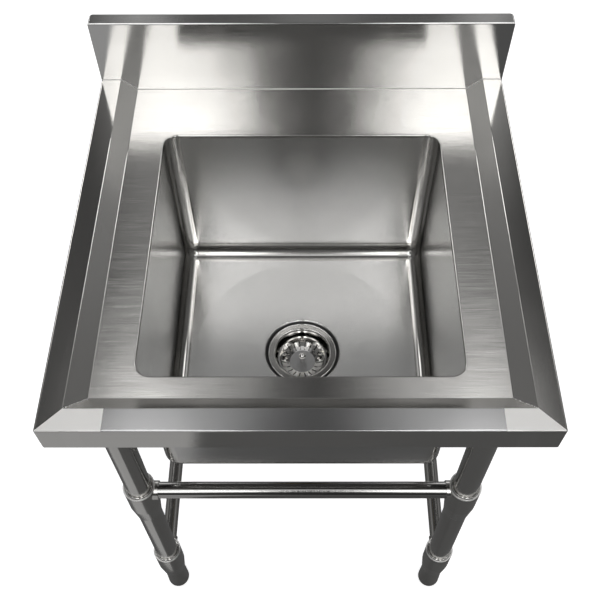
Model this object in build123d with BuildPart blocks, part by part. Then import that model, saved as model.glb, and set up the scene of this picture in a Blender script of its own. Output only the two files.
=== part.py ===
# Free-standing stainless steel utility sink: a pressed top with a raised edge, a square
# bowl, a boxed backsplash, four tube legs with tee collars and rails, levelling feet and a
# basket strainer. Millimetres. The origin is on the floor under the middle of the sink,
# +X to the right, +Y to the wall behind it and +Z up.

import os
from math import atan, tan

from build123d import *

# ---- overall ----
sink_width = 600.0
sink_depth = 600.0
rim_height = 800.0  # floor to the flat top of the raised edge
sheet = 1.2

# ---- top ----
apron_height = 46.0
rim_flat = 29.0
bevel_run = 22.0
deck_drop = 18.5  # raised edge down to the deck
return_lip = 12.0  # bottom of the apron, turned inwards
fold_bend = 0.8  # inside radius of the folds
crease_bend = 1.6  # at both edges of the bevel
lower_bend = 2.3  # inside radius, apron to return lip

# ---- backsplash ----
splash_rise = 100.0  # above the raised edge
splash_depth = 22.5
splash_corner = 4.3  # inside radius of the rear corners

# ---- bowl ----
bowl_size = 400.0  # outside, square
bowl_setback = 80.0  # front of the sink to the bowl
bowl_depth = 275.0  # deck to the bowl's floor
bowl_corner = 20.0  # inside, upright corners and foot of the walls
opening_lip = 5.0  # edge of the deck turned down to meet the bowl
opening_bend = 2.2
floor_fall = 4.0
floor_rim = 8.0  # flat floor between the rounded foot of the walls and the fall

# ---- waste ----
waste_hole_gap = 1.2  # hole in the bowl, wider than the strainer's cup
recess_gap = 1.5  # flat of the recess, wider than the flange
recess_slope = 6.5
recess_depth = 4.0
flange_width = 9.5  # beyond the cup
flange_thick = 1.2
flange_seal_thick = 0.8
flange_seal_inset = 0.8
cup_r = 43.0
cup_wall = 1.5
cup_straight = 16.5  # recess floor down to the cone of the cup
cup_depth = 32.5  # recess floor down to the cup's floor
cup_floor_r = 30.0
mouth_bend = 2.5
outlet_r = 20.0
outlet_wall = 3.9
outlet_length = 30.0
cross_drop = 15.0
cross_thick = 3.0
cross_width = 4.0
hub_wall = 2.2
hub_fit = 0.08
gasket_thick = 3.0
washer_thick = 0.8
clamp_margin = 2.5  # gasket and washer, wider than the flange
locknut_inset = 2.0
locknut_height = 12.0
lug_count = 6
lug_reach = 4.0
lug_width = 12.0
thread_gap = 0.1

# ---- basket ----
basket_gap = 4.0  # cup to the basket's rim, all round
basket_height = 14.5
basket_sheet = 0.8
basket_rim_width = 2.6
basket_floor_r = 20.4
basket_bulge = 2.4  # of the slotted wall, out from a straight cone
wall_flats = 3  # straight steps that the wall is pressed in
slot_count = 20
slot_width = 2.0
slot_inset = 1.2
stopper_r = 25.0
stopper_thick = 4.9
seat_gap = 0.3
knob_r = 5.6
knob_height = 6.0
knob_bend = 4.4
stem_r = 3.75
stem_height = 21.0  # basket floor to the top of the knob
tail_r = 3.0
tail_engage = 2.0  # stem's end inside the cross
basket_nut_across = 10.0
basket_nut_thick = 4.0

# ---- legs and sockets ----
leg_r = 19.0
leg_wall = 1.2
leg_shift = 7.0  # from midway between the bowl and the sink's side, towards the bowl
leg_inset = 65.0  # front or back of the sink to the leg's axis
tube_fit = 0.1
channel_gap = 4.5  # channel to the bowl, and to the foot of the raised edge
channel_height = 25.0
channel_sheet = 1.5
channel_end = 14.0
plate_thick = 3.0
plate_margin = 16.0  # round the sleeve, to the front and the back
plate_gap = 7.1  # plate to the return lip
plate_corner = 6.0
socket_wall = 2.8
socket_length = 55.0
screw_drop = 30.0
screw_r = 4.0
screw_boss_r = 7.0
screw_boss_reach = 4.0
screw_fit = 0.05
hex_across = 4.0
hex_depth = 4.0
hex_sides = 6

# ---- collars and rails ----
collar_r = 23.75
collar_height = 95.0
collar_straight = 58.0  # top of the collar down to its taper
collar_foot_r = 20.2
lip_bend = 1.0
lip_width = 2.2
funnel_depth = 6.0
upper_collar_top = 475.0  # above the floor
rail_r = 12.5
rail_wall = 1.2
rail_drop = 17.0  # top of a collar down to its rail
rail_end_gap = 0.3
boss_wall = 1.8
boss_reach = 28.0  # leg axis to the end of the collar's boss
grub_r = 3.0
grub_drop = 68.0
grub_length = 5.0
grub_hex = 3.0
grub_hex_depth = 2.0

# ---- feet ----
foot_height = 80.0
foot_gap = 0.3
insert_flange = 3.0
insert_length = 48.0
insert_fit = 0.05
stud_r = 6.0
stud_fit = 0.06
stud_length = 44.0
foot_neck_r = 18.0
foot_r = 20.0
foot_bend = 10.0

# ---- places worked out from the sizes above ----
front_y = -sink_depth / 2
back_y = sink_depth / 2
splash_y = back_y - splash_depth
apron_z = rim_height - apron_height
deck_z = rim_height - deck_drop
deck_under_z = deck_z - sheet
splash_top_z = rim_height + splash_rise

rim_inner_x = sink_width / 2 - rim_flat
deck_edge_x = rim_inner_x - bevel_run
rim_inner_y = front_y + rim_flat
deck_edge_y = rim_inner_y + bevel_run
bevel_angle = atan(deck_drop / bevel_run)
# the underside of a folded sheet lies this much further out than its top at each bend
fold_offset = sheet * tan(bevel_angle / 2)
outer_bend = fold_bend + sheet

bowl_inside = bowl_size - 2 * sheet
bowl_y = front_y + bowl_setback + bowl_size / 2
bowl_top_z = deck_z - opening_lip
bowl_floor_z = deck_z - bowl_depth
fall_r = bowl_inside / 2 - bowl_corner - floor_rim
recess_top_z = bowl_floor_z - floor_fall
recess_floor_z = recess_top_z - recess_depth
drain_axis = Axis((0, bowl_y, 0), (0, 0, 1))
drain_plane = Plane(origin=(0, bowl_y, 0), x_dir=(1, 0, 0), z_dir=(0, -1, 0))

flange_under_z = recess_floor_z + flange_seal_thick
flange_top_z = flange_under_z + flange_thick
cup_floor_z = recess_floor_z - cup_depth
cup_cone_z = recess_floor_z - cup_straight
outlet_z = cup_floor_z - cup_wall - outlet_length
cross_z = cup_floor_z - cross_drop
body_r = cup_r + cup_wall
flange_r = cup_r + flange_width
recess_flat_r = flange_r + recess_gap
clamp_r = flange_r + clamp_margin
locknut_r = clamp_r - locknut_inset
hub_bore = tail_r + hub_fit
recess_under_z = recess_floor_z - sheet

stopper_z = cup_floor_z + seat_gap
basket_under_z = stopper_z + stopper_thick
basket_floor_z = basket_under_z + basket_sheet
basket_rim_r = cup_r - basket_gap
basket_rim_z = basket_under_z + basket_height
tail_z = cross_z + cross_thick - tail_engage

leg_x = (bowl_size / 2 + sink_width / 2) / 2 - leg_shift
leg_y = sink_depth / 2 - leg_inset
channel_inner_x = bowl_size / 2 + channel_gap
channel_outer_x = deck_edge_x - channel_gap
plate_outer_x = sink_width / 2 - return_lip - plate_gap
channel_z = deck_under_z - channel_height
plate_z = channel_z - plate_thick
tube_bore = leg_r + tube_fit
socket_r = tube_bore + socket_wall
socket_z = plate_z - socket_length
screw_z = plate_z - screw_drop
leg_z = foot_height + insert_flange
lower_collar_top = foot_height + collar_height
upper_rail_z = upper_collar_top - rail_drop
lower_rail_z = lower_collar_top - rail_drop
rail_bore = rail_r + tube_fit
boss_r = rail_bore + boss_wall
rail_start = leg_r + rail_end_gap  # leg axis to the rail's end

sides = {"left": -1, "right": 1}
ends = {"front": -1, "rear": 1}
corners = {f"{end}_{side}": (sides[side], ends[end]) for end in ends for side in sides}

pick = 0.01  # how near its place an edge must be to be picked for a bend
cut_past = 10.0  # how far a cutter runs past the sheet that it cuts

os.makedirs("parts", exist_ok=True)


def write(builder, name):
    builder.part.label = name
    export_step(builder.part, f"parts/{name}.step")


# ---- top: raised edge on three sides, open to the backsplash behind ----
# The recess is a flat-bottomed trough with a bevelled wall. Its back end runs past the
# sheet, so that the deck meets the backsplash on one level.
def deck_recess(offset, floor_z, top_z):
    spread = (top_z - floor_z) / tan(bevel_angle)
    low_x = deck_edge_x + offset
    low_y = deck_edge_y - offset
    end_y = back_y + spread + cut_past
    with BuildPart() as recess:
        for height, grow in ((floor_z, 0), (top_z, spread)):
            with BuildSketch(Plane.XY.offset(height)):
                with Locations((0, (low_y - grow + end_y) / 2)):
                    Rectangle(2 * (low_x + grow), end_y - low_y + grow)
        loft()
    return recess.part


def top_edges(part, height):
    # edges at one height along the front and the sides, not where the top meets the backsplash
    level = part.edges().filter_by(lambda e: abs(e.center().Z - height) < pick)
    return level.filter_by(lambda e: e.center().Y < splash_y - pick)


deck_length = splash_y - front_y
deck_mid_y = (splash_y + front_y) / 2

with BuildPart() as top_block:
    with BuildSketch(Plane.XY.offset(apron_z)):
        with Locations((0, deck_mid_y)):
            Rectangle(sink_width, deck_length)
    extrude(amount=apron_height)
    add(deck_recess(0, deck_z, rim_height + cut_past), mode=Mode.SUBTRACT)
    inner_rim = top_edges(top_block, rim_height).filter_by(lambda e: e.center().Y > rim_inner_y - pick)
    inner_rim = inner_rim.filter_by(lambda e: abs(e.center().X) < rim_inner_x + pick)
    fillet(inner_rim + top_edges(top_block, deck_z), crease_bend)
    fillet(top_block.edges().filter_by(Axis.Z).group_by(Axis.Y)[0], outer_bend)
    outer_rim = top_edges(top_block, rim_height).filter_by(
        lambda e: e.center().Y < front_y + outer_bend or abs(e.center().X) > sink_width / 2 - outer_bend
    )
    fillet(outer_rim, outer_bend)
    fillet(top_edges(top_block, apron_z), lower_bend + sheet)

# The hollow under the sheet, with the same recess one sheet lower.
with BuildPart() as top_hollow:
    with BuildSketch(Plane.XY.offset(apron_z + sheet)):
        with Locations((0, deck_mid_y + sheet)):
            Rectangle(sink_width - 2 * sheet, deck_length)
    extrude(amount=apron_height - 2 * sheet)
    fillet(top_hollow.edges().filter_by(Axis.Z).group_by(Axis.Y)[0], fold_bend)
    fillet(top_edges(top_hollow, rim_height - sheet), fold_bend)
    fillet(top_edges(top_hollow, apron_z + sheet), lower_bend)
    with BuildSketch(Plane.XY.offset(apron_z)):
        with Locations((0, deck_mid_y + return_lip)):
            Rectangle(sink_width - 2 * return_lip, deck_length)
    extrude(amount=sheet)
    add(deck_recess(fold_offset, deck_under_z, rim_height), mode=Mode.SUBTRACT)

with BuildPart() as deck_top:
    add(top_block.part)
    add(top_hollow.part, mode=Mode.SUBTRACT)
    with BuildSketch(Plane.XY.offset(bowl_top_z)):
        with Locations((0, bowl_y)):
            RectangleRounded(bowl_size, bowl_size, bowl_corner + sheet)
    extrude(amount=deck_z - bowl_top_z)
    with BuildSketch(Plane.XY.offset(bowl_top_z)):
        with Locations((0, bowl_y)):
            RectangleRounded(bowl_inside, bowl_inside, bowl_corner)
    extrude(amount=deck_z - bowl_top_z, mode=Mode.SUBTRACT)
    mouth = top_edges(deck_top, deck_z).filter_by(lambda e: abs(e.center().X) < bowl_size / 2)
    mouth = mouth.filter_by(lambda e: abs(e.center().Y - bowl_y) < bowl_size / 2)
    fillet(mouth, opening_bend)
write(deck_top, "deck_top")

# ---- backsplash: front, top, back and ends folded from one sheet, open underneath ----
splash_mid_y = (splash_y + back_y) / 2

with BuildPart() as backsplash:
    with BuildSketch(Plane.XY.offset(apron_z)):
        with Locations((0, splash_mid_y)):
            Rectangle(sink_width, splash_depth)
    extrude(amount=splash_top_z - apron_z)
    rear_uprights = backsplash.edges().filter_by(Axis.Z).group_by(Axis.Y)[-1]
    fillet(rear_uprights, splash_corner + sheet)
    fillet(backsplash.faces().sort_by(Axis.Z)[-1].edges(), outer_bend)
    with BuildSketch(Plane.XY.offset(apron_z + sheet)) as splash_inside:
        with Locations((0, splash_mid_y)):
            Rectangle(sink_width - 2 * sheet, splash_depth - 2 * sheet)
        fillet(splash_inside.vertices().group_by(Axis.Y)[-1], splash_corner)
    extrude(amount=splash_top_z - apron_z - 2 * sheet, mode=Mode.SUBTRACT)
    # under the deck the box is open to the front, down to the rear return lip
    with BuildSketch(Plane.XY.offset(apron_z)):
        with Locations((0, splash_mid_y - return_lip)):
            Rectangle(sink_width - 2 * return_lip, splash_depth)
    extrude(amount=sheet, mode=Mode.SUBTRACT)
    with BuildSketch(Plane.XY.offset(apron_z + sheet)):
        with Locations((0, splash_y + sheet / 2)):
            Rectangle(sink_width - 2 * sheet, sheet)
    extrude(amount=deck_under_z - apron_z - sheet, mode=Mode.SUBTRACT)
write(backsplash, "backsplash")


# ---- bowl ----
# The same form is used for the outside, one sheet larger, and for the hollow.
def bowl_form(grow):
    floor_z = bowl_floor_z - grow
    with BuildPart() as form:
        with BuildSketch(Plane.XY.offset(floor_z)):
            with Locations((0, bowl_y)):
                RectangleRounded(bowl_inside + 2 * grow, bowl_inside + 2 * grow, bowl_corner + grow)
        extrude(amount=bowl_top_z - floor_z)
        fillet(form.faces().sort_by(Axis.Z)[0].edges(), bowl_corner + grow)
        with BuildSketch(drain_plane):
            with BuildLine():
                Polyline(
                    (0, floor_z + sheet),
                    (0, floor_z - floor_fall - recess_depth),
                    (recess_flat_r + grow, floor_z - floor_fall - recess_depth),
                    (recess_flat_r + recess_slope + grow, floor_z - floor_fall),
                    (fall_r, floor_z),
                    (fall_r, floor_z + sheet),
                    close=True,
                )
            make_face()
        revolve(axis=drain_axis)
    return form.part


with BuildPart() as bowl:
    add(bowl_form(sheet))
    add(bowl_form(0), mode=Mode.SUBTRACT)
    with BuildSketch(Plane.XY.offset(recess_under_z)):
        with Locations((0, bowl_y)):
            Circle(body_r + waste_hole_gap)
    extrude(amount=sheet, mode=Mode.SUBTRACT)
write(bowl, "bowl")


# ---- waste: flange and cup, seals and the nut that clamps them to the bowl ----
def ring(inner, outer, low_z, thickness):
    with BuildPart() as washer:
        with BuildSketch(Plane.XY.offset(low_z)):
            with Locations((0, bowl_y)):
                Circle(outer)
                Circle(inner, mode=Mode.SUBTRACT)
        extrude(amount=thickness)
    return washer


with BuildPart() as strainer_body:
    with BuildSketch(drain_plane):
        with BuildLine():
            Polyline(
                (flange_r, flange_top_z),
                (cup_r, flange_top_z),
                (cup_r, cup_cone_z),
                (cup_floor_r, cup_floor_z),
                (outlet_r, cup_floor_z),
                (outlet_r, outlet_z),
                (outlet_r + outlet_wall, outlet_z),
                (outlet_r + outlet_wall, cup_floor_z - cup_wall),
                (cup_floor_r, cup_floor_z - cup_wall),
                (body_r, cup_cone_z - cup_wall),
                (body_r, flange_under_z),
                (flange_r, flange_under_z),
                close=True,
            )
        make_face()
    revolve(axis=drain_axis)
    flange_edges = strainer_body.edges().filter_by(GeomType.CIRCLE).group_by(Axis.Z)[-1]
    fillet(flange_edges.sort_by(SortBy.RADIUS)[0], mouth_bend)
    # cross in the outlet, with a hub for the stem of the basket
    with BuildSketch(Plane.XY.offset(cross_z)):
        with Locations((0, bowl_y)):
            Rectangle(2 * outlet_r + outlet_wall, cross_width)
            Rectangle(cross_width, 2 * outlet_r + outlet_wall)
            Circle(hub_bore + hub_wall)
            Circle(hub_bore, mode=Mode.SUBTRACT)
    extrude(amount=cross_thick)
write(strainer_body, "strainer_body")

flange_seal = ring(body_r + thread_gap, flange_r - flange_seal_inset, recess_floor_z, flange_seal_thick)
write(flange_seal, "flange_seal")

gasket_z = recess_under_z - gasket_thick
body_gasket = ring(body_r + thread_gap, clamp_r, gasket_z, gasket_thick)
write(body_gasket, "body_gasket")

washer_z = gasket_z - washer_thick
friction_washer = ring(body_r + thread_gap, clamp_r, washer_z, washer_thick)
write(friction_washer, "friction_washer")

locknut_z = washer_z - locknut_height
with BuildPart() as strainer_locknut:
    with BuildSketch(Plane.XY.offset(locknut_z)):
        with Locations((0, bowl_y)):
            Circle(locknut_r)
            with PolarLocations(locknut_r, lug_count):
                Rectangle(2 * lug_reach, lug_width)
            Circle(body_r + thread_gap, mode=Mode.SUBTRACT)
    extrude(amount=locknut_height)
write(strainer_locknut, "strainer_locknut")

# ---- basket: dished shell with radial slots, a stem with a knob, and a rubber stopper ----
wall_foot = (basket_floor_r, basket_floor_z)
wall_head = (basket_rim_r - basket_rim_width, basket_rim_z)

with BuildPart() as basket_shell:
    with BuildSketch(drain_plane):
        with BuildLine():
            bulge = SagittaArc(wall_foot, wall_head, -basket_bulge, mode=Mode.PRIVATE)
            steps = [bulge @ (step / wall_flats) for step in range(wall_flats + 1)]
            Polyline((0, basket_floor_z), *steps, (basket_rim_r, basket_rim_z))
            offset(amount=basket_sheet, side=Side.RIGHT)
        make_face()
    revolve(axis=drain_axis)
    slot_start = basket_floor_r + slot_inset
    slot_end = basket_rim_r - basket_rim_width - slot_inset
    with BuildSketch(Plane.XY.offset(basket_under_z)):
        with Locations((0, bowl_y)):
            with PolarLocations((slot_start + slot_end) / 2, slot_count, start_angle=180 / slot_count):
                SlotOverall(slot_end - slot_start, slot_width)
    extrude(amount=basket_height, mode=Mode.SUBTRACT)
    with BuildSketch(Plane.XY.offset(basket_under_z)):
        with Locations((0, bowl_y)):
            Circle(tail_r + screw_fit)
    extrude(amount=basket_sheet, mode=Mode.SUBTRACT)
write(basket_shell, "basket_shell")

knob_top_z = basket_floor_z + stem_height
with BuildPart() as basket_post:
    for low_z, high_z, radius in (
        (tail_z, basket_floor_z, tail_r),
        (basket_floor_z, knob_top_z - knob_height, stem_r),
        (knob_top_z - knob_height, knob_top_z, knob_r),
    ):
        with BuildSketch(Plane.XY.offset(low_z)):
            with Locations((0, bowl_y)):
                Circle(radius)
        extrude(amount=high_z - low_z)
    fillet(basket_post.faces().sort_by(Axis.Z)[-1].edges(), knob_bend)
write(basket_post, "basket_post")

basket_seal = ring(tail_r + screw_fit, stopper_r, stopper_z, stopper_thick)
write(basket_seal, "basket_seal")

with BuildPart() as basket_nut:
    with BuildSketch(Plane.XY.offset(stopper_z - basket_nut_thick)):
        with Locations((0, bowl_y)):
            RegularPolygon(basket_nut_across / 2, hex_sides, major_radius=False)
            Circle(tail_r + screw_fit, mode=Mode.SUBTRACT)
    extrude(amount=basket_nut_thick)
write(basket_nut, "basket_nut")

# ---- stiffening channels under the top, open upwards against the deck ----
channel_width = channel_outer_x - channel_inner_x
channel_length = splash_y - front_y - 2 * channel_end
channel_mid_x = (channel_inner_x + channel_outer_x) / 2

for side, way in sides.items():
    with BuildPart() as channel:
        with BuildSketch(Plane.XY.offset(channel_z)):
            with Locations((way * channel_mid_x, deck_mid_y)):
                Rectangle(channel_width, channel_length)
        extrude(amount=channel_height)
        with BuildSketch(Plane.XY.offset(channel_z + channel_sheet)):
            with Locations((way * channel_mid_x, deck_mid_y)):
                Rectangle(channel_width - 2 * channel_sheet, channel_length)
        extrude(amount=channel_height - channel_sheet, mode=Mode.SUBTRACT)
    write(channel, f"channel_{side}")


# ---- leg sockets: a plate under the channel, a sleeve and a boss for the grub screw ----
def screw_axis(way, reach, x, y, z):
    # plane that looks from a leg's axis towards the middle of the sink
    return Plane(origin=(x - way * reach, y, z), x_dir=(0, 1, 0), z_dir=(-way, 0, 0))


socket_screw_reach = socket_r + screw_boss_reach
plate_width = plate_outer_x - channel_inner_x
plate_length = 2 * (socket_r + plate_margin)

for corner, (way, end) in corners.items():
    x = way * leg_x
    y = end * leg_y
    with BuildPart() as leg_socket:
        with BuildSketch(Plane.XY.offset(plate_z)):
            with Locations((way * (channel_inner_x + plate_outer_x) / 2, y)):
                RectangleRounded(plate_width, plate_length, plate_corner)
        extrude(amount=plate_thick)
        with BuildSketch(Plane.XY.offset(socket_z)):
            with Locations((x, y)):
                Circle(socket_r)
        extrude(amount=socket_length)
        with BuildSketch(screw_axis(way, leg_r, x, y, screw_z)):
            Circle(screw_boss_r)
        extrude(amount=socket_screw_reach - leg_r)
        with BuildSketch(Plane.XY.offset(socket_z)):
            with Locations((x, y)):
                Circle(tube_bore)
        extrude(amount=socket_length, mode=Mode.SUBTRACT)
        with BuildSketch(screw_axis(way, leg_r, x, y, screw_z)):
            Circle(screw_r + screw_fit)
        extrude(amount=socket_screw_reach - leg_r, mode=Mode.SUBTRACT)
    write(leg_socket, f"leg_socket_{corner}")

hex_reach = socket_screw_reach - hex_depth
with BuildPart() as socket_screws:
    for way, end in corners.values():
        with BuildSketch(screw_axis(way, leg_r, way * leg_x, end * leg_y, screw_z)):
            Circle(screw_r)
        extrude(amount=socket_screw_reach - leg_r)
        with BuildSketch(screw_axis(way, hex_reach, way * leg_x, end * leg_y, screw_z)):
            RegularPolygon(hex_across / 2, hex_sides, major_radius=False)
        extrude(amount=hex_depth, mode=Mode.SUBTRACT)
write(socket_screws, "socket_screws")

# ---- legs ----
for corner, (way, end) in corners.items():
    with BuildPart() as leg:
        with BuildSketch(Plane.XY.offset(leg_z)):
            with Locations((way * leg_x, end * leg_y)):
                Circle(leg_r)
                Circle(leg_r - leg_wall, mode=Mode.SUBTRACT)
        extrude(amount=plate_z - leg_z)
    write(leg, f"leg_{corner}")


# ---- tee collars: a tapered sleeve round the leg, with a boss that holds a rail ----
def grub_plane(x, y, top_z, way, reach):
    # looks out from a leg's axis, towards the middle of the sink from front to back
    return Plane(origin=(x, y + way * reach, top_z - grub_drop), x_dir=(1, 0, 0), z_dir=(0, way, 0))


def tee_collar(x, y, top_z, towards, screw_way):
    axis = Axis((x, y, 0), (0, 0, 1))
    across = Plane(origin=(x, y, 0), x_dir=(1, 0, 0), z_dir=(0, -1, 0))
    along_rail = Plane(origin=(x, y, top_z - rail_drop), z_dir=towards)
    bottom_z = top_z - collar_height
    with BuildPart() as collar:
        with BuildSketch(across):
            with BuildLine():
                Polyline(
                    (0, bottom_z),
                    (collar_foot_r, bottom_z),
                    (collar_r, top_z - collar_straight),
                    (collar_r, top_z),
                    (0, top_z),
                    close=True,
                )
            make_face()
        revolve(axis=axis)
        fillet(collar.faces().sort_by(Axis.Z)[-1].edges(), lip_bend)
        with BuildSketch(along_rail):
            Circle(boss_r)
        extrude(amount=boss_reach)
        with BuildSketch(across):
            with BuildLine():
                Polyline(
                    (0, bottom_z),
                    (tube_bore, bottom_z),
                    (tube_bore, top_z - funnel_depth),
                    (collar_r - lip_width, top_z),
                    (0, top_z),
                    close=True,
                )
            make_face()
        revolve(axis=axis, mode=Mode.SUBTRACT)
        with BuildSketch(along_rail):
            Circle(rail_bore)
        extrude(amount=boss_reach, mode=Mode.SUBTRACT)
        with BuildSketch(grub_plane(x, y, top_z, screw_way, 0)):
            Circle(grub_r + screw_fit)
        extrude(amount=collar_r, mode=Mode.SUBTRACT)
    return collar


# an upper collar takes the rail across the sink, a lower one the rail from front to back
for corner, (way, end) in corners.items():
    upper_collar = tee_collar(way * leg_x, end * leg_y, upper_collar_top, (-way, 0, 0), -end)
    write(upper_collar, f"upper_collar_{corner}")
    lower_collar = tee_collar(way * leg_x, end * leg_y, lower_collar_top, (0, -end, 0), -end)
    write(lower_collar, f"lower_collar_{corner}")

grub_hex_reach = leg_r + grub_length - grub_hex_depth
for level, top_z in (("upper", upper_collar_top), ("lower", lower_collar_top)):
    with BuildPart() as collar_screws:
        for way, end in corners.values():
            with BuildSketch(grub_plane(way * leg_x, end * leg_y, top_z, -end, leg_r)):
                Circle(grub_r)
            extrude(amount=grub_length)
            with BuildSketch(grub_plane(way * leg_x, end * leg_y, top_z, -end, grub_hex_reach)):
                RegularPolygon(grub_hex / 2, hex_sides, major_radius=False)
            extrude(amount=grub_hex_depth, mode=Mode.SUBTRACT)
    write(collar_screws, f"{level}_collar_screws")


# ---- rails: round tubes between the collars ----
def rail(plane, length):
    with BuildPart() as tube:
        with BuildSketch(plane):
            Circle(rail_r)
            Circle(rail_r - rail_wall, mode=Mode.SUBTRACT)
        extrude(amount=length / 2, both=True)
    return tube


for end_name, end in ends.items():
    cross_plane = Plane(origin=(0, end * leg_y, upper_rail_z), z_dir=(1, 0, 0))
    write(rail(cross_plane, 2 * (leg_x - rail_start)), f"{end_name}_rail")

for side, way in sides.items():
    side_plane = Plane(origin=(way * leg_x, 0, lower_rail_z), z_dir=(0, 1, 0))
    write(rail(side_plane, 2 * (leg_y - rail_start)), f"{side}_rail")

# ---- feet: a threaded plug in each tube end, and the foot that screws into it ----
for corner, (way, end) in corners.items():
    centre = (way * leg_x, end * leg_y)
    with BuildPart() as foot_insert:
        with BuildSketch(Plane.XY.offset(foot_height)):
            with Locations(centre):
                Circle(leg_r)
        extrude(amount=insert_flange)
        with BuildSketch(Plane.XY.offset(leg_z)):
            with Locations(centre):
                Circle(leg_r - leg_wall - insert_fit)
        extrude(amount=insert_length - insert_flange)
        with BuildSketch(Plane.XY.offset(foot_height)):
            with Locations(centre):
                Circle(stud_r + stud_fit)
        extrude(amount=insert_length, mode=Mode.SUBTRACT)
    write(foot_insert, f"foot_insert_{corner}")

    foot_top = foot_height - foot_gap
    with BuildPart() as foot:
        with BuildSketch(Plane(origin=(*centre, 0), x_dir=(1, 0, 0), z_dir=(0, -1, 0))):
            with BuildLine():
                Polyline((0, 0), (foot_r, 0), (foot_neck_r, foot_top), (0, foot_top), close=True)
            make_face()
        revolve(axis=Axis((*centre, 0), (0, 0, 1)))
        fillet(foot.faces().sort_by(Axis.Z)[0].edges(), foot_bend)
        with BuildSketch(Plane.XY.offset(foot_top)):
            with Locations(centre):
                Circle(stud_r)
        extrude(amount=stud_length)
    write(foot, f"foot_{corner}")
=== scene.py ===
import math
import random

import bmesh
import bpy
from mathutils import Matrix, Vector


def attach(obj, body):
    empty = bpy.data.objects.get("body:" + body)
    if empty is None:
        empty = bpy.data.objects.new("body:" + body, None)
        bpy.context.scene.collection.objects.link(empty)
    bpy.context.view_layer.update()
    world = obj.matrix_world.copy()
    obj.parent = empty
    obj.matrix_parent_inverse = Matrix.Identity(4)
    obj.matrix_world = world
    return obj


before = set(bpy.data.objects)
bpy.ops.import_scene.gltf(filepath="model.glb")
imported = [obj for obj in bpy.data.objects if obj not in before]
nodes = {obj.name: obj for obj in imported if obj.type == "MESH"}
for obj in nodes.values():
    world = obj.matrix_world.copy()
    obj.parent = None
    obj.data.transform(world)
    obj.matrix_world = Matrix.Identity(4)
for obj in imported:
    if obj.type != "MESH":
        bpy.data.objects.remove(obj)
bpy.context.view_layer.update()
print("frame loaded:", len(nodes), "nodes")


class Wire:
    # one socket of a node tree, with the sums that the finishes use
    def __init__(self, tree, socket=None):
        self.tree = tree
        self.socket = socket

    def make(self, kind, settings=None, values=None, out=0):
        node = self.tree.nodes.new(kind)
        for name, setting in (settings or {}).items():
            setattr(node, name, setting)
        for name, value in (values or {}).items():
            if isinstance(value, Wire):
                self.tree.links.new(value.socket, node.inputs[name])
            else:
                node.inputs[name].default_value = value
        return Wire(self.tree, node.outputs[out])

    def sum(self, operation, *values):
        return self.make("ShaderNodeMath", {"operation": operation}, dict(enumerate(values)))

    def __add__(self, other):
        return self.sum("ADD", self, other)

    __radd__ = __add__

    def __sub__(self, other):
        return self.sum("SUBTRACT", self, other)

    def __rsub__(self, other):
        return self.sum("SUBTRACT", other, self)

    def __mul__(self, other):
        return self.sum("MULTIPLY", self, other)

    __rmul__ = __mul__

    def __truediv__(self, other):
        return self.sum("DIVIDE", self, other)

    def __gt__(self, other):
        return self.sum("GREATER_THAN", self, other)

    def __lt__(self, other):
        return self.sum("LESS_THAN", self, other)

    def part(self, axis):
        return self.make("ShaderNodeSeparateXYZ", None, {0: self}, "XYZ".index(axis))

    def clip(self):
        return self.make("ShaderNodeClamp", None, {0: self})


def blend(factor, low, high):
    # two colours mixed by a factor: the colours are sockets 6 and 7, the mixed one is output 2
    return factor.make("ShaderNodeMix", {"data_type": "RGBA"}, {0: factor, 6: low, 7: high}, 2)


def stretch(place, scales):
    # the same point with each axis scaled, for grain that runs along a piece
    return place.make("ShaderNodeVectorMath", {"operation": "MULTIPLY"}, {0: place, 1: scales})


def noise(place, scales, detail=2.0, rough=0.5):
    values = {"Vector": stretch(place, scales), "Scale": 1.0, "Detail": detail, "Roughness": rough}
    return place.make("ShaderNodeTexNoise", None, values)


objectOutput = 3  # of the texture coordinate node


def newFinish(name):
    material = bpy.data.materials.new(name)
    material.use_nodes = True
    tree = material.node_tree
    shader = tree.nodes["Principled BSDF"]
    place = Wire(tree).make("ShaderNodeTexCoord", None, None, objectOutput)
    return material, shader, place


def feed(shader, **inputs):
    tree = shader.id_data
    for name, value in inputs.items():
        socket = shader.inputs[name.replace("_", " ")]
        if isinstance(value, Wire):
            tree.links.new(value.socket, socket)
        else:
            socket.default_value = value


# all lengths are in metres
drainY = -0.02

steel = {
    "colour": (0.63, 0.62, 0.60, 1.0),
    "cloudy": (0.56, 0.55, 0.53, 1.0),  # in soft clouds over the colour
    "roughness": 0.1,
    "spread": 0.015,  # of the roughness, between the wider lines
    "along": 6.0,  # brush lines per metre, along the grain
    "across": 4000.0,  # and across it
    "slope": 0.06,  # of the sides of the brush lines
    "streaks": 0.05,  # share of the wider lines in the depth
    "wider": 0.15,  # how many wider lines there are for each fine one
    "detail": 2.0,
    "rough": 0.6,
    "sharp": 0.01,  # filter width of the bump, which keeps fine lines apart
    "clouds": (7.0, 7.0, 7.0),  # per metre
    "cloudDetail": 3.0,
    "waves": (9.0, 9.0, 9.0),
    "wave": 0.0004,  # height of the slow waves that pressing leaves in the sheet
    "shadeWide": 0.2,  # share of the wider lines in the colour
    "shadeFine": 0.3,
    "shadeWhole": 0.7,
    "sideDepth": 0.5,  # depth of the lines that run along Y
}


def brushLines(place, fast, across, along):
    # noise drawn out into lines: fast names the axes across the grain
    scales = [across if axis in fast else along for axis in "XYZ"]
    return noise(place, scales, steel["detail"], steel["rough"])


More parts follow.
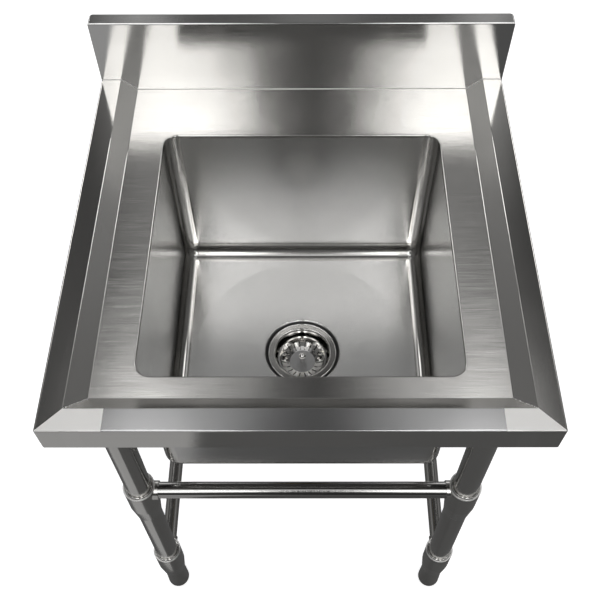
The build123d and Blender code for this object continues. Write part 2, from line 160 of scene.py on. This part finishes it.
def metalSurface(name, lines, settings):
    # lines(place, across, along): the grain at one width of brush line
    material, shader, place = newFinish(name)
    fine = lines(place, steel["across"], steel["along"])
    wide = lines(place, steel["across"] * steel["wider"], steel["along"])
    cloud = noise(place, steel["clouds"], steel["cloudDetail"])
    wave = noise(place, steel["waves"], 1.0)
    height = fine + wide * steel["streaks"] + wave * (settings["wave"] * steel["across"] / settings["slope"])
    if "dent" in settings:
        height = height + settings["dent"](place)
    depth = settings["slope"] / steel["across"]
    values = {"Strength": 1.0, "Distance": depth, "Filter Width": steel["sharp"], "Height": height}
    bump = place.make("ShaderNodeBump", None, values)
    mottle = (cloud + wide * steel["shadeWide"] + fine * steel["shadeFine"]) * steel["shadeWhole"]
    shade = blend(mottle, settings["cloudy"], settings["colour"])
    rough = settings["roughness"] + steel["spread"] * (wide - 0.5)
    for mask, patchColour, patchRoughness in settings.get("patches", []):
        where = mask(place)
        shade = blend(where, shade, patchColour)
        rough = rough + where * (patchRoughness - settings["roughness"])
    feed(shader, Metallic=1.0, Base_Color=shade, Roughness=rough, Normal=bump)
    return material


def brushedSteel(name, fast, sides=None, **changes):
    # fast: axes across the brush lines; sides: mask where the lines run along Y instead
    settings = {**steel, **changes}

    def lines(place, across, along):
        straight = brushLines(place, fast, across, along)
        if sides is None:
            return straight
        mask = sides(place)
        turned = brushLines(place, "XZ", across, along)
        return mask * settings["sideDepth"] * turned + (1 - mask) * straight

    return metalSurface(name, lines, settings)


def fromDrain(place):
    # distance from the middle of the drain
    x, y = place.part("X"), place.part("Y") - drainY
    total = x * x + y * y
    return total.sum("SQRT", total)


def turnedSteel(name, **changes):
    # lathe marks in rings round the drain
    settings = {**steel, **changes}

    def rings(place, across, along):
        reach = fromDrain(place) * across
        values = {0: reach, 1: place.part("Z") * across, 2: place.part("X") * along}
        ringPlace = place.make("ShaderNodeCombineXYZ", None, values)
        return noise(ringPlace, (1.0, 1.0, 1.0), steel["detail"], steel["rough"])

    return metalSurface(name, rings, settings)


polish = {"smears": (30.0, 30.0, 30.0), "detail": 3.0, "rougher": 0.05}


def polishedSteel(name, roughness, colour):
    material, shader, place = newFinish(name)
    smear = noise(place, polish["smears"], polish["detail"])
    feed(shader, Metallic=1.0, Base_Color=colour, Roughness=roughness + polish["rougher"] * smear)
    return material


grain = {"grits": (900.0, 900.0, 900.0), "detail": 2.0, "strength": 0.4, "depth": 0.0001, "darker": 0.8}


def plain(name, colour, roughness, metallic=0.0):
    # small parts with a grainy skin
    material, shader, place = newFinish(name)
    grit = noise(place, grain["grits"], grain["detail"])
    values = {"Strength": grain["strength"], "Distance": grain["depth"], "Height": grit}
    bump = place.make("ShaderNodeBump", None, values)
    shade = blend(grit, tuple(grain["darker"] * c for c in colour) + (1.0,), colour + (1.0,))
    feed(shader, Base_Color=shade, Roughness=roughness, Metallic=metallic, Normal=bump)
    return material


half = 0.3  # of the sink's width and depth
top = {
    "rim": 0.0511,  # how far in the rim and its bevel reach
    "flatMiddle": 0.004,  # the front rim's brushed flat
    "flatHalf": 0.228,
    "flatBack": -0.2713,
    "flatLow": 0.7988,
    "bevelIn": 0.2495,  # the bevels beside the deck
    "bevelOut": 0.2705,
    "bevelHigh": 0.7995,
}
# where the bowl's flats end, and how sharply they go over into its bends
bowlFlat = {"half": 0.1765, "foot": 0.529, "edge": 500.0}
# ripples round the lowest points of the bowl's four corners
press = {"side": 0.183, "foot": 0.5215, "reach": 0.014, "ripples": (260.0, 260.0, 260.0), "depth": 9.0}
lips = [(0.4726, 0.4756), (0.1726, 0.1756)]  # foot and head of the collars' lips
# radii of the basket's floor and wall and of the cup, and where the near side begins
drain = {"disc": 0.0204, "wall": 0.034, "front": -0.022, "cup": 0.041, "cupTop": 0.4935, "cupFloor": 0.4792}


def magnitude(value):
    return value.sum("ABSOLUTE", value)


def cornerBands(place):
    # 1 where the top is brushed along Y: its side rims, and the middle of the front rim's flat
    fromSide = half - magnitude(place.part("X"))
    fromFront = place.part("Y") + half
    rim = (fromSide < top["rim"]) * (fromSide < fromFront)
    return (rim + frontFlat(place)).clip()


def onFrontRim(place):
    return (place.part("Y") < top["flatBack"]) * (place.part("Z") > top["flatLow"])


def frontFlat(place):
    # the front rim between its two ground corners, where the top's colour is painted darker as shade
    middle = magnitude(place.part("X") - top["flatMiddle"]) < top["flatHalf"]
    return middle * onFrontRim(place)


def frontCornersGroundAndSheen(place):
    # the front rim beyond its flat, up to the mitres, where it was ground by hand; rougher there, and painted
    # pale as a highlight
    outer = magnitude(place.part("X") - top["flatMiddle"]) > top["flatHalf"]
    inFront = place.part("Y") + half < half - magnitude(place.part("X"))
    return outer * inFront * onFrontRim(place)


def sideBevels(place):
    # slopes beside the deck, rolled smoother than the flats
    across = magnitude(place.part("X"))
    return (across > top["bevelIn"]) * (across < top["bevelOut"]) * (place.part("Z") < top["bevelHigh"])


def collarLipHighlight(place):
    # the turned lips at the tops of the collars, rougher, and painted pale as a highlight
    height = place.part("Z")
    upper, lower = [(height > low) * (height < high) for low, high in lips]
    return upper + lower


def cornerPress(place):
    # ripples in the pressed corners at the bowl's foot
    x = magnitude(place.part("X")) - press["side"]
    y = magnitude(place.part("Y") - drainY) - press["side"]
    z = place.part("Z") - press["foot"]
    near = 1 - ((x * x + y * y + z * z) * (1 / press["reach"] ** 2)).clip()
    return near * noise(place, press["ripples"], 1.0) * press["depth"]


def bowlBends(place):
    # 1 on the rounded corners of the bowl, which the press leaves smoother than its flats
    flat = bowlFlat["half"]
    x = ((magnitude(place.part("X")) - flat) * bowlFlat["edge"]).clip()
    y = ((magnitude(place.part("Y") - drainY) - flat) * bowlFlat["edge"]).clip()
    low = ((bowlFlat["foot"] - place.part("Z")) * bowlFlat["edge"]).clip()
    return (x * y + low * (x + y)).clip()


def basketDiscShade(place):
    # the flat floor of the basket, rougher, and painted dark as shade
    return fromDrain(place) < drain["disc"]


def basketFrontSheen(place):
    # the near side of the basket's wall, duller than the rest, and painted white as a reflection
    reach = fromDrain(place)
    return (reach > drain["disc"]) * (reach < drain["wall"]) * (place.part("Y") < drain["front"])


def cupInsideShade(place):
    # the cup under the basket, dull, and painted dark as shade
    height = place.part("Z")
    return (fromDrain(place) < drain["cup"]) * (height < drain["cupTop"]) * (height > drain["cupFloor"])


def grey(value):
    return (value, value, value, 1.0)


neutral = {"colour": (0.63, 0.627, 0.618, 1.0), "cloudy": (0.56, 0.557, 0.549, 1.0)}
pale = (0.86, 0.85, 0.83, 1.0)
# each patch: its mask, colour and roughness
# the front flat's darker grey is painted shade, and the front corners' pale colour a painted highlight
topPatches = [(frontFlat, grey(0.48), 0.15), (frontCornersGroundAndSheen, pale, 0.3), (sideBevels, steel["colour"], 0.22)]
topSteel = brushedSteel("topSteel", "YZ", sides=cornerBands, slope=0.14, sideDepth=0.14, patches=topPatches)
crossSteel = brushedSteel("crossSteel", "YZ", slope=0.105, **neutral)
bowlPatches = [(bowlBends, steel["colour"], 0.12)]
bowlSteel = brushedSteel(
    "bowlSteel", "YZ", roughness=0.25, slope=0.05, dent=cornerPress, patches=bowlPatches, **neutral
)
legSteel = brushedSteel("legSteel", "Z", roughness=0.13)
sideRail = brushedSteel("sideRail", "Y", roughness=0.1)
# a darker copy of the brushed steel for the front and rear rails: painted shade
railShade = {"colour": (0.46, 0.455, 0.445, 1.0), "cloudy": (0.42, 0.415, 0.405, 1.0)}
frontRail = brushedSteel("frontRail", "X", roughness=0.06, **railShade)
# the collars' lips are painted pale as a highlight
castPatches = [(collarLipHighlight, (0.95, 0.94, 0.92, 1.0), 0.42)]
castSteel = brushedSteel("castSteel", "Z", roughness=0.18, patches=castPatches)
# the inside of the cup is painted dark as shade
flangePatches = [(cupInsideShade, grey(0.1), 0.5)]
flangeSteel = turnedSteel("flangeSteel", roughness=0.1, slope=0.02, patches=flangePatches)
# the basket's floor is painted dark as shade, and the near side of its wall white as a painted reflection
basketPatches = [(basketDiscShade, grey(0.24), 0.4), (basketFrontSheen, (1.0, 0.99, 0.97, 1.0), 0.4)]
# a brighter copy of the steel for the basket and the polished parts: painted sheen
brightSheen = {"colour": (0.9, 0.89, 0.87, 1.0), "cloudy": pale}
basketSteel = turnedSteel("basketSteel", roughness=0.07, slope=0.01, patches=basketPatches, **brightSheen)
weldSteel = polishedSteel("weldSteel", 0.36, pale)
shinySteel = polishedSteel("shinySteel", 0.06, brightSheen["colour"])
zincSteel = plain("zincSteel", (0.55, 0.56, 0.57), 0.35, 1.0)
brass = plain("brass", (0.66, 0.53, 0.28), 0.35, 1.0)
rubber = plain("rubber", (0.03, 0.03, 0.03), 0.6)
blackRing = plain("blackRing", (0.012, 0.012, 0.012), 0.4)
fibre = plain("fibre", (0.42, 0.33, 0.22), 0.8)

finishes = {
    "deck_top": topSteel,
    "backsplash": crossSteel,
    "bowl": bowlSteel,
    "channel": crossSteel,
    "leg_socket": castSteel,
    "leg": legSteel,
    "upper_collar": castSteel,
    "lower_collar": castSteel,
    "foot": castSteel,
    "front_rail": frontRail,
    "rear_rail": frontRail,
    "left_rail": sideRail,
    "right_rail": sideRail,
    "strainer_body": flangeSteel,
    "basket_shell": basketSteel,
    "basket_post": shinySteel,
    "strainer_locknut": brass,
    "friction_washer": fibre,
    "flange_seal": rubber,
    "body_gasket": rubber,
    "basket_seal": rubber,
    "socket_screws": zincSteel,
    "upper_collar_screws": zincSteel,
    "lower_collar_screws": zincSteel,
    "basket_nut": zincSteel,
    "foot_insert": zincSteel,
}

for name, piece in nodes.items():
    fits = [key for key in finishes if name == key or name.startswith(key + "_")]
    finish = finishes[max(fits, key=len)]
    piece.data.materials.clear()
    piece.data.materials.append(finish)
print("finishes set")

merge = 1e-6  # distance below which two points become one


def addPiece(name, mesh, finish):
    piece = bpy.data.objects.new(name, mesh)
    bpy.context.scene.collection.objects.link(piece)
    mesh.name = name
    mesh.materials.clear()
    mesh.materials.append(finish)
    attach(piece, "frame")


def smoothMesh(mesh):
    # a finished mesh, its faces turned outwards and shaded smooth
    bmesh.ops.recalc_face_normals(mesh, faces=mesh.faces)
    for face in mesh.faces:
        face.smooth = True
    solid = bpy.data.meshes.new("solid")
    mesh.to_mesh(solid)
    mesh.free()
    return solid


def turnRound(mesh, outline, x, y, steps):
    # an outline turned round the upright line through x, y
    bmesh.ops.spin(
        mesh, geom=outline, cent=(x, y, 0.0), axis=(0.0, 0.0, 1.0), angle=math.tau, steps=steps, use_merge=True
    )


seam = {
    "radius": 0.0008,
    "rounding": 2,
    "face": 0.2775,  # front of the backsplash
    "end": 0.2985,
    "rim": 0.8,  # height of the rim, and where it ends inwards
    "rimInside": 0.271,
    "deck": 0.7815,  # height of the deck, and where it ends outwards
    "deckEdge": 0.249,
}


def seamWeld():
    # ground weld between the backsplash and the top, as one thin bead
    curve = bpy.data.curves.new("rear_seam", "CURVE")
    curve.dimensions = "3D"
    curve.bevel_depth = seam["radius"]
    curve.bevel_resolution = seam["rounding"]
    curve.use_fill_caps = True
    corners = [(seam["end"], seam["rim"]), (seam["rimInside"], seam["rim"]), (seam["deckEdge"], seam["deck"])]
    path = [(-x, z) for x, z in corners] + [(x, z) for x, z in reversed(corners)]
    spline = curve.splines.new("POLY")
    spline.points.add(len(path) - 1)
    for point, (x, z) in zip(spline.points, path):
        point.co = (x, seam["face"], z, 1.0)
    holder = bpy.data.objects.new("rear_seam_curve", curve)
    bpy.context.scene.collection.objects.link(holder)
    bpy.context.view_layer.update()
    solid = bpy.data.meshes.new_from_object(holder.evaluated_get(bpy.context.evaluated_depsgraph_get()))
    bpy.data.objects.remove(holder)
    addPiece("rear_seam_weld", solid, weldSteel)


mitre = {
    "beads": 22,
    "size": 0.00042,
    "sizes": (0.6, 1.5),  # smallest and largest, against that size
    "flatness": 1.3,
    "places": (0.2, 0.8),  # within each bead's share of the length
    "scatter": 0.0005,
    "seed": 4,
    "subdivisions": 2,
}


def mitreWelds():
    # small weld beads left along the mitres of the front bevels
    chance = random.Random(mitre["seed"])
    mesh = bmesh.new()
    for side in (-1.0, 1.0):
        high = Vector((side * seam["rimInside"], -seam["rimInside"], seam["rim"]))
        low = Vector((side * seam["deckEdge"], -seam["deckEdge"], seam["deck"]))
        for step in range(mitre["beads"]):
            middle = high.lerp(low, (step + chance.uniform(*mitre["places"])) / mitre["beads"])
            middle.x += chance.uniform(-1.0, 1.0) * mitre["scatter"]
            size = mitre["size"] * chance.uniform(*mitre["sizes"])
            wide = size * mitre["flatness"]
            squash = Matrix.Translation(middle) @ Matrix.Diagonal((wide, wide, size, 1.0))
            bmesh.ops.create_icosphere(mesh, subdivisions=mitre["subdivisions"], radius=1.0, matrix=squash)
    addPiece("mitre_welds", smoothMesh(mesh), weldSteel)


bead = {
    "inside": 0.0542,
    "outside": 0.0588,
    "low": 0.4986,
    "insideTop": 0.4998,
    "outsideTop": 0.5015,
    "edge": 0.0001,  # half the height of its rounded edge
    "edgeInset": 0.0006,
    "sag": 0.0002,
    "steps": 96,
}


def flangeBlackRing():
    # a black ring bead round the flange of the drain
    mesh = bmesh.new()
    middle = (bead["inside"] + bead["outside"]) / 2
    profile = [
        (bead["inside"], bead["low"]),
        (bead["outside"], bead["outsideTop"] - bead["edge"]),
        (bead["outside"] - bead["edgeInset"], bead["outsideTop"] + bead["edge"]),
        (middle, (bead["insideTop"] + bead["outsideTop"]) / 2 - bead["sag"]),
        (bead["inside"], bead["insideTop"]),
    ]
    corners = [mesh.verts.new((r, drainY, z)) for r, z in profile]
    edges = [mesh.edges.new((a, b)) for a, b in zip(corners, corners[1:] + corners[:1])]
    turnRound(mesh, corners + edges, 0.0, drainY, bead["steps"])
    bmesh.ops.remove_doubles(mesh, verts=mesh.verts, dist=merge)
    addPiece("flange_black_ring", smoothMesh(mesh), blackRing)


# rolled edges: radius of the ring, half its thickness and the middles of its copies
lip = {"radius": 0.0602, "thick": 0.0006, "middles": [(0.0, drainY, 0.5023)]}
edge = {"radius": 0.0535, "thick": 0.001, "middles": [(0.0, drainY, 0.4996)]}
ring = {"segments": 12, "steps": 120}
collar = {
    "radius": 0.0199,
    "thick": 0.0009,
    "middles": [(x, y, z) for x in (-0.243, 0.243) for y in (-0.235, 0.235) for z in (0.4755, 0.1755)],
}


def roundEdge(name, shape):
    # thin rolled edges, each a ring round its own middle
    mesh = bmesh.new()
    for x, y, z in shape["middles"]:
        place = Matrix.Translation((x + shape["radius"], y, z)) @ Matrix.Rotation(math.pi / 2, 4, "X")
        circle = bmesh.ops.create_circle(mesh, segments=ring["segments"], radius=shape["thick"], matrix=place)
        # each edge once, in the order of its points
        edges = list(dict.fromkeys(edge for vert in circle["verts"] for edge in vert.link_edges))
        turnRound(mesh, circle["verts"] + edges, x, y, ring["steps"])
    bmesh.ops.remove_doubles(mesh, verts=mesh.verts, dist=merge)
    addPiece(name, smoothMesh(mesh), shinySteel)


seamWeld()
mitreWelds()
flangeBlackRing()
roundEdge("recess_lip", lip)
roundEdge("flange_edge", edge)
roundEdge("collar_edges", collar)
print("welds and edges made")

paper = {
    "size": 12.0,
    "leftEdge": -0.235,  # left of this and nearer than the next, the metal mirrors it brighter, as painted light on the floor
    "nearEdge": -0.3,
    "shown": 0.75,  # brightness that the camera sees
    "mirrored": 0.02,  # and that the metal sees
    "mirroredLeft": 0.3,
    "lit": 0.8,  # whiteness to the camera, and to the light that it throws back
    "unlit": 0.15,
    "roughness": 0.9,
}
mesh = bmesh.new()
bmesh.ops.create_grid(mesh, x_segments=1, y_segments=1, size=paper["size"])
floorMesh = bpy.data.meshes.new("floor")
mesh.to_mesh(floorMesh)
mesh.free()
floor = bpy.data.objects.new("floor", floorMesh)
bpy.context.scene.collection.objects.link(floor)

floorFinish, floorShader, floorPlace = newFinish("paleFloor")
path = floorPlace.make("ShaderNodeLightPath")
isCamera = Wire(floorPlace.tree, path.socket.node.outputs["Is Camera Ray"])
isGlossy = Wire(floorPlace.tree, path.socket.node.outputs["Is Glossy Ray"])
# a glow that only reflections see, on the left near side of the floor: painted light
paintedFloorLight = (floorPlace.part("X") < paper["leftEdge"]) * (floorPlace.part("Y") < paper["nearEdge"])
mirrored = paper["mirrored"] + paintedFloorLight * paper["mirroredLeft"]
black, white = (0.0, 0.0, 0.0, 1.0), (1.0, 1.0, 1.0, 1.0)
feed(
    floorShader,
    Base_Color=blend(paper["unlit"] + isCamera * (paper["lit"] - paper["unlit"]), black, white),
    Roughness=paper["roughness"],
    Emission_Color=blend(isCamera * paper["shown"] + isGlossy * mirrored, black, white),
    Emission_Strength=1.0,
)
floorMesh.materials.append(floorFinish)

studio = {
    "around": 0.03,  # light from everywhere, for the shaded sides
    "behind": 1.0,  # what the camera sees behind the sink
    "mirrored": 0.01,  # what the metal sees of it
    "middle": 0.006,  # the panels stand this far to the right
    # soft panels, the same on both sides: distance from the middle, half width,
    # angle up from the wall side, half height, strength
    "panels": [
        (0.110, 0.024, 126.0, 6.4, 6.0),
        (0.195, 0.050, 135.0, 7.9, 4.2),
        (0.138, 0.036, 129.0, 8.4, 1.1),
        (0.197, 0.037, 79.0, 8.5, 5.0),
        (0.000, 0.300, 111.0, 4.5, 0.9),
        (0.400, 0.100, 112.0, 7.0, 1.4),
        (0.450, 0.050, 42.0, 9.0, 8.0),
        (0.125, 0.042, 5.0, 9.5, 1.8),
        (0.229, 0.035, 6.0, 10.0, 0.6),
        (0.102, 0.032, 56.0, 7.9, 0.65),
        (0.194, 0.025, 36.0, 8.5, 0.5),
        (0.011, 0.036, 28.0, 12.0, 0.25),
        (0.620, 0.040, 155.0, 9.0, 1.4),
        (0.685, 0.060, 31.0, 7.5, 0.2),
        (0.950, 0.120, 90.0, 60.0, 0.3),
    ],
}

world = bpy.data.worlds.new("studio")
bpy.context.scene.world = world
world.use_nodes = True
tree = world.node_tree
background = tree.nodes["Background"]
direction = Wire(tree).make("ShaderNodeTexCoord")
aside = magnitude(direction.part("X") - studio["middle"])
climb = direction.sum("ARCTAN2", direction.part("Z"), direction.part("Y"))
light = studio["around"]
for apart, halfWidth, angle, halfHeight, strength in studio["panels"]:
    over = (aside - apart) / halfWidth
    up = (climb - math.radians(angle)) / math.radians(halfHeight)
    spread = over * over + up * up
    light = light + strength * spread.sum("POWER", math.exp(-0.5), spread)
cameraRay = direction.make("ShaderNodeLightPath")
kinds = cameraRay.socket.node.outputs
mirrorRay = Wire(tree, kinds["Is Glossy Ray"]) + Wire(tree, kinds["Is Transmission Ray"])
shown = cameraRay * studio["behind"] + mirrorRay * studio["mirrored"] + (1 - cameraRay) * light
tree.links.new(shown.socket, background.inputs["Strength"])
background.inputs["Color"].default_value = (1.0, 1.0, 1.0, 1.0)

# pitch in degrees, yaw and roll in radians; focal length and centre in pixels of the picture
view = {
    "place": (0.0086, -0.7031, 1.6553),
    "pitch": 56.55,
    "yaw": -0.007,
    "roll": -0.007,
    "focal": 836.6,
    "centre": (304.4, 310.7),
    "picture": 600.0,
    "sensor": 36.0,  # millimetres
    "near": 0.05,
    "far": 60.0,
}
cameraData = bpy.data.cameras.new("camera")
cameraData.sensor_width = view["sensor"]
cameraData.lens = view["focal"] * view["sensor"] / view["picture"]
cameraData.shift_x = (view["picture"] / 2 - view["centre"][0]) / view["picture"]
cameraData.shift_y = (view["centre"][1] - view["picture"] / 2) / view["picture"]
cameraData.clip_start = view["near"]
cameraData.clip_end = view["far"]
camera = bpy.data.objects.new("camera", cameraData)
bpy.context.scene.collection.objects.link(camera)
pitch, yaw, roll = math.radians(view["pitch"]), view["yaw"], view["roll"]
ahead = Vector((math.sin(yaw) * math.cos(pitch), math.cos(yaw) * math.cos(pitch), -math.sin(pitch)))
right = Vector((math.cos(yaw), -math.sin(yaw), 0.0))
above = right.cross(ahead)
rightRolled = right * math.cos(roll) + above * math.sin(roll)
aboveRolled = above * math.cos(roll) - right * math.sin(roll)
turn = Matrix((rightRolled, aboveRolled, -ahead)).transposed()
camera.matrix_world = Matrix.Translation(view["place"]) @ turn.to_4x4()
bpy.context.scene.camera = camera
bpy.context.scene.view_settings.view_transform = "Standard"
print("light and camera set")
